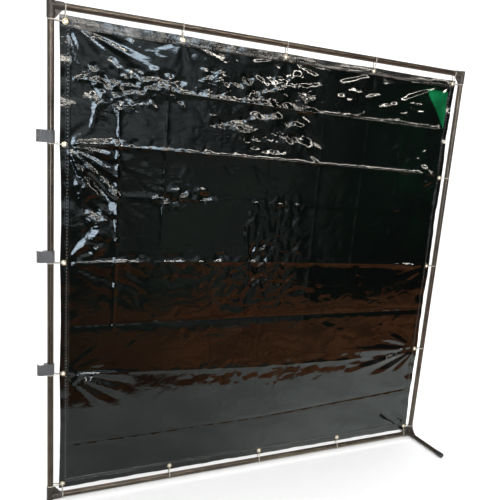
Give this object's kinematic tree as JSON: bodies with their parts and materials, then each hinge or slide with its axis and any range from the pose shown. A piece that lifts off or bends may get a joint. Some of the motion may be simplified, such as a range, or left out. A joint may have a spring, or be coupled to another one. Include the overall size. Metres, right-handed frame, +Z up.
{
  "type": "welding curtain screen",
  "caption": "Free-standing welding screen: square tube frame on cross legs, dark film curtain tied inside it by eyelets, and side clips that join the next screen.",
  "frame": {"origin": "on the floor, under the middle of the object's box", "axes": "+X along the screen from the clips to the cross legs, +Y through the screen to its rear, +Z up"},
  "size_m": [2.0368, 0.53, 2],
  "materials": {
    "bronze_tube": "satin bronze anodised",
    "joint_plastic": "matte",
    "cap_plastic": "matte",
    "clip_plastic": "satin",
    "dark_film": "glossy, slightly see-through dark green film",
    "brass": "polished",
    "nylon": "satin, off-white"
  },
  "bodies": {
    "frame": {"left_post": "bronze_tube", "right_post": "bronze_tube", "top_tube": "bronze_tube", "bottom_tube": "bronze_tube", "front_leg": "bronze_tube", "rear_leg": "bronze_tube", "corner_joint_top_left": "joint_plastic", "corner_joint_top_right": "joint_plastic", "corner_joint_bottom_left": "joint_plastic", "foot_joint_bottom_right": "joint_plastic", "front_leg_cap": "cap_plastic", "rear_leg_cap": "cap_plastic", "curtain_sheet": "dark_film", "eyelet_top_left": "brass", "eyelet_top_right": "brass", "eyelet_bottom_left": "brass", "eyelet_bottom_right": "brass", "eyelet_top_1": "brass", "eyelet_top_2": "brass", "eyelet_top_3": "brass", "eyelet_right_1": "brass", "eyelet_right_2": "brass", "eyelet_right_3": "brass", "eyelet_bottom_1": "brass", "eyelet_bottom_2": "brass", "eyelet_bottom_3": "brass", "eyelet_left_1": "brass", "eyelet_left_2": "brass", "eyelet_left_3": "brass", "tie_top_left_post": "nylon", "tie_top_left_bar": "nylon", "tie_top_right_post": "nylon", "tie_top_right_bar": "nylon", "tie_bottom_left_post": "nylon", "tie_bottom_left_bar": "nylon", "tie_bottom_right_post": "nylon", "tie_bottom_right_bar": "nylon", "tie_top_1": "nylon", "tie_top_2": "nylon", "tie_top_3": "nylon", "tie_right_1": "nylon", "tie_right_2": "nylon", "tie_right_3": "nylon", "tie_bottom_1": "nylon", "tie_bottom_2": "nylon", "tie_bottom_3": "nylon", "tie_left_1": "nylon", "tie_left_2": "nylon", "tie_left_3": "nylon"},
    "lower_clip_body": {"lower_clip": "clip_plastic"},
    "middle_clip_body": {"middle_clip": "clip_plastic"},
    "upper_clip_body": {"upper_clip": "clip_plastic"}
  },
  "joints": [
    {"name": "lower_clip_swivel", "type": "hinge", "parent": "frame", "child": "lower_clip_body", "pos_m": [-0.9666, 0, 0.5986], "axis": [0, 0, 1], "range_deg": [-120, 120]},
    {"name": "middle_clip_swivel", "type": "hinge", "parent": "frame", "child": "middle_clip_body", "pos_m": [-0.9666, 0, 1.0661], "axis": [0, 0, 1], "range_deg": [-120, 120]},
    {"name": "upper_clip_swivel", "type": "hinge", "parent": "frame", "child": "upper_clip_body", "pos_m": [-0.9666, 0, 1.5246], "axis": [0, 0, 1], "range_deg": [-120, 120]}
  ]
}
